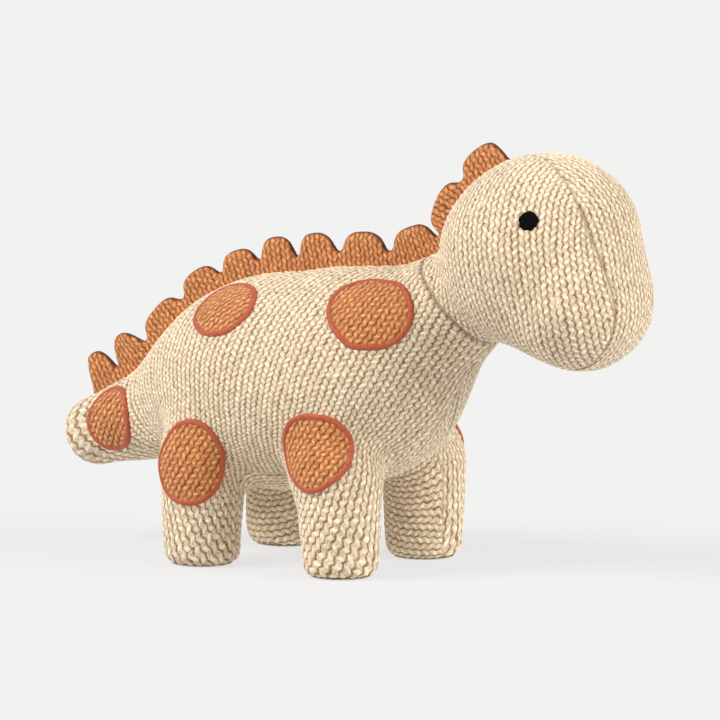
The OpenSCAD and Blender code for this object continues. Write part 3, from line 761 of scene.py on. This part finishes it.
def build_soles():
    out = []
    for body in LEGS:
        end, _, side = body.split("_")
        hip = FRONT_HIP if end == "front" else REAR_HIP
        sign = -1 if side == "right" else 1
        turn = np.linspace(0, 2 * math.pi, 120, endpoint=False)
        shares = np.linspace(0.02, 1, 26)
        r = shares[:, None] * (SOLE_R + 0.6)
        x = r * np.cos(turn)[None]
        y = r * np.sin(turn)[None]
        height, shade = seed_stitch(x.ravel(), y.ravel(), 9.0)
        rim = 0.9 * np.clip((shares[:, None] - 0.94) / 0.06, 0, 1) ** 2
        z = 0.15 + 0.35 * (1 - height.reshape(x.shape)) + rim
        points = np.stack([hip + x, sign * HIP_SIDE + y, z], -1).reshape(-1, 3)
        faces = grid_quads(len(shares), len(turn), True)[:, ::-1]
        points = np.concatenate([points, [[hip, sign * HIP_SIDE, 0.3]]])
        uv = np.concatenate([np.stack([x, y], -1).reshape(-1, 2), [[0, 0]]])
        floats = {
            "stitch": np.append(height * 0.8, 0.5),
            "shade": np.append(shade, 0.5),
            # Painted shade: the sole darkens towards its rim, in the seam crease around it
            "seam": np.append(np.repeat(np.clip((shares - 0.9) / 0.1, 0, 1), 120), 0),
        }
        obj = make_mesh(f"{end}_sole_{side}_knit", points, faces, None, uv, floats, CREAM)
        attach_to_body(obj, body)
        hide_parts(f"{end}_sole_{side}")
        out.append(obj)
    return out


def grid_quads(rows, cols, closed):
    i, j = np.meshgrid(np.arange(rows - 1), np.arange(cols if closed else cols - 1), indexing="ij")
    k = (j + 1) % cols
    return np.stack([i * cols + j, i * cols + k, (i + 1) * cols + k, (i + 1) * cols + j], -1).reshape(-1, 4)


# Patches and eyes, laid out on the skin by walking outwards from a centre


def walked(centre, up, turns, reach, step=0.6):
    """Points and normals reached by walking along the form from centre in every direction."""
    p, n = settle(np.array([centre], float), 4)
    up = np.array(up, float) - n[0] * np.dot(up, n[0])
    up /= np.linalg.norm(up)
    across = np.cross(up, n[0])
    heading = np.cos(turns)[:, None] * across + np.sin(turns)[:, None] * up
    p = np.repeat(p, len(turns), 0)
    n = np.repeat(n, len(turns), 0)
    places, normals = [p], [n]
    for _ in range(int(reach / step) + 2):
        p, n = settle(p + heading * step)
        heading = heading - n * (heading * n).sum(1)[:, None]
        heading /= np.linalg.norm(heading, axis=1)[:, None]
        places.append(p)
        normals.append(n)
    return np.stack(places), np.stack(normals), step


def picked(walk, r):
    """Places at distances r, given as rings by directions."""
    places, normals, step = walk
    k = np.clip(r / step, 0, len(places) - 1.001)
    i = np.floor(k).astype(int)
    t = (k - i)[..., None]
    j = np.arange(places.shape[1])[None].repeat(len(r), 0)
    p = places[i, j] * (1 - t) + places[i + 1, j] * t
    n = normals[i, j] * (1 - t) + normals[i + 1, j] * t
    return p, n / np.linalg.norm(n, axis=-1, keepdims=True)


def outline(turns, half_a, half_b, narrow, roll):
    """Distance to an egg-shaped outline by direction."""
    a = turns - math.radians(roll)
    u, v = np.cos(a), np.sin(a)
    r = 1 / np.sqrt((u / half_a) ** 2 + (v / half_b) ** 2)
    return r * (1 + narrow * v * np.abs(u) ** 1.2)


PATCHES = {
    "back": ((-55.5, -36.5, 134.8), 22, 19, 0.0, -15, ("torso", None)),
    "shoulder": ((35, -41, 140.5), 25, 21.5, 0.12, -20, ("torso", "head")),
    "front_hip": ((13.5, -60.5, 66), 22, 21, 0.15, 0, ("torso", "front_leg")),
    "rear_hip": ((-62, -62, 56), 20.5, 23, -0.05, -8, ("torso", "rear_leg")),
    "tail": ((-136.5, -21, 68), 15.5, 18.5, 0.0, 0, ("tail", "torso")),
}
BORDER = 3.4


def attach(obj, bodies, nodes):
    base, other = bodies
    if other is None:
        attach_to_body(obj, base)
    elif base == "tail":
        bend(obj)
    else:
        bend(obj)
    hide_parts(*nodes)


def build_patches():
    for number, (name, (centre, half_a, half_b, narrow, roll, bodies)) in enumerate(PATCHES.items()):
        turns = np.linspace(0, 2 * math.pi, 240, endpoint=False)
        edge = outline(turns, half_a, half_b, narrow, roll)
        edge = edge * (1 + 0.006 * np.sin(3 * turns + number) + 0.005 * np.sin(7 * turns + 2 * number))
        walk = walked(centre, (0, 0, 1), turns, edge.max() + 1)
        shares = np.linspace(0.015, 1, 42)
        r = shares[:, None] * (edge - BORDER * 0.6)[None]
        p, n = picked(walk, r)
        x, y = r * np.cos(turns)[None], r * np.sin(turns)[None]
        grain = math.radians(-30)
        u = x * math.cos(grain) + y * math.sin(grain)
        v = y * math.cos(grain) - x * math.sin(grain)
        height, shade = seed_stitch(u.ravel() * 1.1, v.ravel(), 20.0 + number)
        height, shade = height.reshape(u.shape), shade.reshape(u.shape)
        swell = 1 - (r / edge[None]) ** 2
        lift = 0.5 + 0.9 * swell + 0.6 * height * np.clip((1 - shares[:, None]) / 0.05, 0, 1)
        points = (p + n * lift[..., None]).reshape(-1, 3)
        points = np.concatenate([points, (p[0] + n[0] * 1.8).mean(0)[None]])
        faces = grid_quads(len(shares), len(turns), True)
        uv = np.concatenate([np.stack([u, v], -1).reshape(-1, 2), [[0, 0]]])
        # Painted shade: the patch darkens towards its rim, next to the raised satin border
        rim = np.clip((shares - 0.9) / 0.1, 0, 1)
        floats = {
            "stitch": np.append(height.ravel(), 0.7),
            "shade": np.append(shade.ravel(), 0.5),
            "seam": np.append(np.repeat(rim * 0.7, len(turns)), 0),
        }
        # The border, finer than the patch, for its threads
        m = int(edge.mean() * 2 * math.pi / 0.36)
        fine = np.linspace(0, 2 * math.pi, m, endpoint=False)
        edge_fine = np.interp(fine, np.append(turns, 2 * math.pi), np.append(edge, edge[0]))
        walk_fine = walked(centre, (0, 0, 1), fine, edge.max() + 1)
        across = np.linspace(-1, 1, 11)
        rb = edge_fine[None] - BORDER / 2 + across[:, None] * BORDER / 2
        pb, nb = picked(walk_fine, rb)
        ripple = np.sin(np.arange(m) * math.pi * 0.9 + hashed(np.arange(m), 0, number) * 1.5)
        threads = 0.5 + 0.5 * ripple[None] * np.ones_like(rb)
        arch = np.sqrt(np.maximum(1 - across**2, 0))[:, None]
        lift_b = 0.1 + 1.45 * arch + 0.09 * threads * arch
        points_b = (pb + nb * lift_b[..., None]).reshape(-1, 3)
        faces_b = grid_quads(len(across), m, True)
        # The thread ripple also sets the satin colour: painted shade between the threads
        floats_b = {
            "stitch": (0.55 + 0.45 * threads).ravel(),
            "shade": threads.ravel(),
            "seam": 0 * threads.ravel(),
        }
        for side, sign in (("right", 1), ("left", -1)):
            s = np.array([1, sign, 1])
            turn = 1 if sign == 1 else -1
            f = faces if sign == 1 else faces[:, ::-1]
            g = faces_b if sign == 1 else faces_b[:, ::-1]
            obj = make_mesh(f"{name}_patch_{side}_knit", points * s, f[:, ::-1], None, uv, floats, ORANGE)
            attach(obj, bodies, [f"{name}_patch_{side}"])
            border = f"{name}_border_{side}_stitch"
            obj = make_mesh(border, points_b * s, g[:, ::-1], None, None, floats_b, SATIN)
            attach(obj, bodies, [f"{name}_border_{side}"])


def build_eyes():
    turns = np.linspace(0, 2 * math.pi, 180, endpoint=False)
    edge = 5.3 * (1 + 0.03 * np.sin(5 * turns + 0.4) + 0.02 * np.sin(9 * turns))
    walk = walked(EYES[0], (0, 0, 1), turns, 7)
    shares = np.linspace(0.03, 1, 22)
    r = shares[:, None] * edge[None]
    p, n = picked(walk, r)
    x, y = r * np.cos(turns)[None], r * np.sin(turns)[None]
    lines = 0.5 + 0.5 * np.sin((y + 0.25 * x) * 2 * math.pi / 0.55)
    lift = 0.9 * np.sqrt(np.maximum(1 - shares[:, None] ** 4, 0)) + 0.06 * lines - 0.4
    points = (p + n * lift[..., None]).reshape(-1, 3)
    floats = {"stitch": lines.ravel() * 0.5 + 0.5, "shade": lines.ravel(), "seam": 0 * lines.ravel()}
    faces = grid_quads(len(shares), len(turns), True)
    points = np.concatenate([points, (p[0] + n[0] * 0.5).mean(0)[None]])
    floats = {k: np.append(v, 0.7) for k, v in floats.items()}
    for side, sign in (("right", 1), ("left", -1)):
        f = faces[:, ::-1] if sign == 1 else faces
        obj = make_mesh(f"eye_{side}_stitch", points * np.array([1, sign, 1]), f, None, None, floats, BLACK)
        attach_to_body(obj, "head")
        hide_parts(f"eye_{side}")


# Ridge

SPINE = (
    (-158, 75), (-147, 80), (-138, 87), (-128, 98.6), (-110, 119.5), (-93, 131.7), (-62.6, 146.4),
    (-39, 152.7),
    (-16, 154.5), (10, 155), (30, 158), (43, 163), (53, 173), (58, 184), (66, 199), (73, 206), (84, 212.5),
    (96, 219.5),
)
# Low points between the bumps, measured along the spine
LOWS = (0, 20, 46, 78, 104, 127, 150, 175, 206, 243, 277, 305)
VALLEY = 7.5
TOPS = (20, 21, 15.5, 15, 15.5, 18, 18.5, 17.5, 18, 15.5, 14)


def smooth(t):
    t = np.clip(t, 0, 1)
    return t * t * (3 - 2 * t)


def spine_line(n):
    """Points of the spine on the form's top line at even distances, with their upward directions."""
    p = np.array([[x, 0.0, z] for x, z in SPINE])
    d = np.append(0, np.cumsum(np.linalg.norm(np.diff(p, axis=0), axis=1)))
    t = np.linspace(0, d[-1], 400)
    p = np.stack([np.interp(t, d, p[:, a]) for a in range(3)], -1)
    kernel = np.hanning(25)
    kernel /= kernel.sum()
    for a in (0, 2):
        padded = np.concatenate([2 * p[0, a] - p[12:0:-1, a], p[:, a], 2 * p[-1, a] - p[-2:-14:-1, a]])
        p[:, a] = np.convolve(padded, kernel, "valid")
    p, _ = settle(p, 3)
    d = np.append(0, np.cumsum(np.linalg.norm(np.diff(p, axis=0), axis=1)))
    t = np.linspace(0, d[-1], n)
    p = np.stack([np.interp(t, d, p[:, a]) for a in range(3)], -1)
    ahead = np.gradient(p, axis=0)
    for a in (0, 2):
        ahead[:, a] = np.convolve(np.pad(ahead[:, a], 20, "edge"), np.ones(41) / 41, "valid")
    ahead /= np.linalg.norm(ahead, axis=1)[:, None]
    up = np.stack([-ahead[:, 2], 0 * ahead[:, 0], ahead[:, 0]], -1)
    return p, up, d[-1]


def ridge_height(share):
    t = np.interp(share * LOWS[-1], LOWS, np.arange(len(LOWS)))
    away = np.abs(2 * (t - np.floor(t)) - 1)
    ends = smooth(np.minimum(share, 1 - share) * 75)
    size = np.array(TOPS)[np.minimum(t.astype(int), len(TOPS) - 1)]
    top = (VALLEY + (size - VALLEY) * dome(1 - (away / 0.84) ** 2.8)) * ends + 0.3
    kernel = np.hanning(17)
    return np.convolve(np.pad(top, 8, "edge"), kernel / kernel.sum(), "valid")


def build_ridge():
    base, up, length = spine_line(900)
    share = np.linspace(0, 1, len(base))
    top = ridge_height(share)
    slope = np.clip(np.gradient(top, share * length), -1.5, 1.5)
    rows = np.linspace(0, 1, 30)
    below = 2.0
    h = -below + rows[:, None] * (top + below)[None]
    to_edge = (top[None] - h) / np.sqrt(1 + slope**2)[None]
    k = np.clip(to_edge / 5.5, 0, 1)
    half = 3.5 * np.sqrt(1 - (1 - k) ** 2) * np.interp(np.maximum(h, 0), (0, 8, 18), (1, 0.92, 0.86))
    s = share * length
    u = np.repeat(s[None], len(rows), 0)
    height, shade = seed_stitch(u.ravel() * 1.2, (h * 1.05).ravel(), 31.0)
    height, shade = height.reshape(u.shape), shade.reshape(u.shape)
    calm = np.clip(to_edge / 1.2, 0, 1)
    lean = 0.5 * np.sin(s / 9.0)[None] * rows[:, None]
    out = {}
    # Cut in the valleys, outside the stretches where the neck and the tail bend
    cuts = (0, LOWS[1] / LOWS[-1], LOWS[3] / LOWS[-1], LOWS[7] / LOWS[-1], 0.85, 1)
    names = ("ridge_tail", "ridge_rump", "ridge_back", "ridge_nape", "ridge_crown")
    parts = dict(zip(names, zip(cuts, cuts[1:])))
    ahead = np.stack([up[:, 2], 0 * up[:, 0], -up[:, 0]], -1)
    back_lean = 0.06 * np.maximum(h - 5, 0)
    centre = base[None] + up[None] * h[..., None] - ahead[None] * back_lean[..., None]
    centre = centre + np.array([0, 1, 0]) * lean[..., None]
    sides = []
    for sign in (1, -1):
        y = sign * (half + (0.5 * height - 0.2) * calm)
        sides.append(centre + np.array([0, 1, 0]) * y[..., None])
    # right side from the base up, then left side down to the base
    points = np.concatenate([sides[1], sides[0][::-1][1:]])
    value = np.concatenate([height * calm, (height * calm)[::-1][1:]])
    tone = np.concatenate([shade, shade[::-1][1:]])
    # Painted shade along the ridge's top edge, where its two sides meet; the stitch value also falls to its
    # darkest colour there
    painted_edge_shade = np.exp(-((to_edge / 0.9) ** 2)) * 0.35
    dark = np.concatenate([painted_edge_shade, painted_edge_shade[::-1][1:]])
    uv = np.stack([np.concatenate([u, u[::-1][1:]]), np.concatenate([h, -h[::-1][1:]])], -1)
    rows_all, cols = points.shape[:2]
    flat = points.reshape(-1, 3)
    faces = grid_quads(rows_all, cols, False)
    normals = point_normals(flat, faces)
    column = faces[:, 0] % cols
    for name, (a, b) in parts.items():
        mine = (column >= round(a * (cols - 1))) & (column < round(b * (cols - 1)))
        floats = [value.ravel(), tone.ravel(), dark.ravel()]
        part, (p, n, w, f1, f2, f3) = compact(faces[mine], [flat, normals, uv.reshape(-1, 2), *floats])
        obj = make_mesh(f"{name}_knit", p, part, n, w, {"stitch": f1, "shade": f2, "seam": f3}, ORANGE)
        if name == "ridge_nape":
            bend(obj)
        elif name == "ridge_rump":
            bend(obj)
        elif name == "ridge_back":
            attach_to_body(obj, "torso")
        else:
            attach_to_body(obj, "head" if name == "ridge_crown" else "tail")
        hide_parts(name)


build_soles()
build_patches()
build_eyes()
build_ridge()

# The skin and filling nodes that the pieces above stand for
SKIN_NODES = {
    "side_panel_right": ("side_panel_right", "torso_filling"),
    "side_panel_left": ("side_panel_left",),
    "belly_gusset": ("belly_gusset",),
    "head_panel_right": ("head_panel_right", "head_filling"),
    "head_panel_left": ("head_panel_left",),
    "face_gusset": ("face_gusset",),
}
for name, pieces in made.items():
    for body, how, obj in pieces:
        if how == "ride" and body == ("head" if name.startswith(("head", "face")) else "torso"):
            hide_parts(*SKIN_NODES[name])
        if how == "ride" and body == "tail" and name.startswith("side"):
            side = name.rsplit("_", 1)[1]
            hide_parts(f"tail_panel_{side}", *(["tail_filling"] if side == "right" else []))
        if how == "ride" and "_leg_" in body:
            end, _, side = body.split("_")
            if name.startswith("side"):
                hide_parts(f"{end}_leg_outer_{side}", f"{end}_leg_filling_{side}")
            else:
                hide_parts(f"{end}_leg_inner_{side}")

# Floor, light and camera

world = bpy.data.worlds.new("studio")
bpy.context.scene.world = world
world.use_nodes = True
world.node_tree.nodes["Background"].inputs["Color"].default_value = (0.888, 0.888, 0.888, 1)
world.node_tree.nodes["Background"].inputs["Strength"].default_value = 0.45

floor_mesh = bpy.data.meshes.new("floor")
floor_mesh.from_pydata([(-60, -60, 0), (60, -60, 0), (60, 60, 0), (-60, 60, 0)], [], [(0, 1, 2, 3)])
floor = bpy.data.objects.new("floor", floor_mesh)
bpy.context.scene.collection.objects.link(floor)
paper, paper_tree, paper_shader = nodes_of("pale_paper")
paper_shader.inputs["Base Color"].default_value = (0.14, 0.139, 0.138, 1)
paper_shader.inputs["Emission Color"].default_value = (1, 1, 1, 1)
paper_shader.inputs["Emission Strength"].default_value = 0.7
paper_shader.inputs["Roughness"].default_value = 1.0
paper_shader.inputs["Specular IOR Level"].default_value = 0.0
floor_mesh.materials.append(paper)


def sun(name, source, spread, strength, colour):
    data = bpy.data.lights.new(name, "SUN")
    data.angle = math.radians(spread)
    data.energy = strength
    data.color = colour
    obj = bpy.data.objects.new(name, data)
    bpy.context.scene.collection.objects.link(obj)
    obj.rotation_euler = Vector(source).to_track_quat("Z", "Y").to_euler()
    return obj


# Rays come from these directions: a broad light above the left of the picture, a weaker one from the right
sun("key", (-0.75, -0.95, 1.15), 30, 2.85, (1.0, 0.985, 0.965))
sun("side", (1.0, 0.1, 0.5), 40, 2.3, (1.0, 0.985, 0.97))

camera_data = bpy.data.cameras.new("camera")
camera = bpy.data.objects.new("camera", camera_data)
bpy.context.scene.collection.objects.link(camera)
bpy.context.scene.camera = camera
camera_data.lens = 1200
camera_data.sensor_width = 36
azimuth, elevation = math.radians(32), math.radians(8.3)
aim = Vector((0.0048, 0, 0.1073))
level = math.cos(elevation)
back = Vector((math.sin(azimuth) * level, -math.cos(azimuth) * level, math.sin(elevation)))
camera_data.clip_end = 200
camera.location = aim + back * (0.00052 * 720 * camera_data.lens / camera_data.sensor_width)
camera.rotation_euler = (-back).to_track_quat("-Z", "Y").to_euler()
bpy.context.scene.view_settings.view_transform = "Standard"
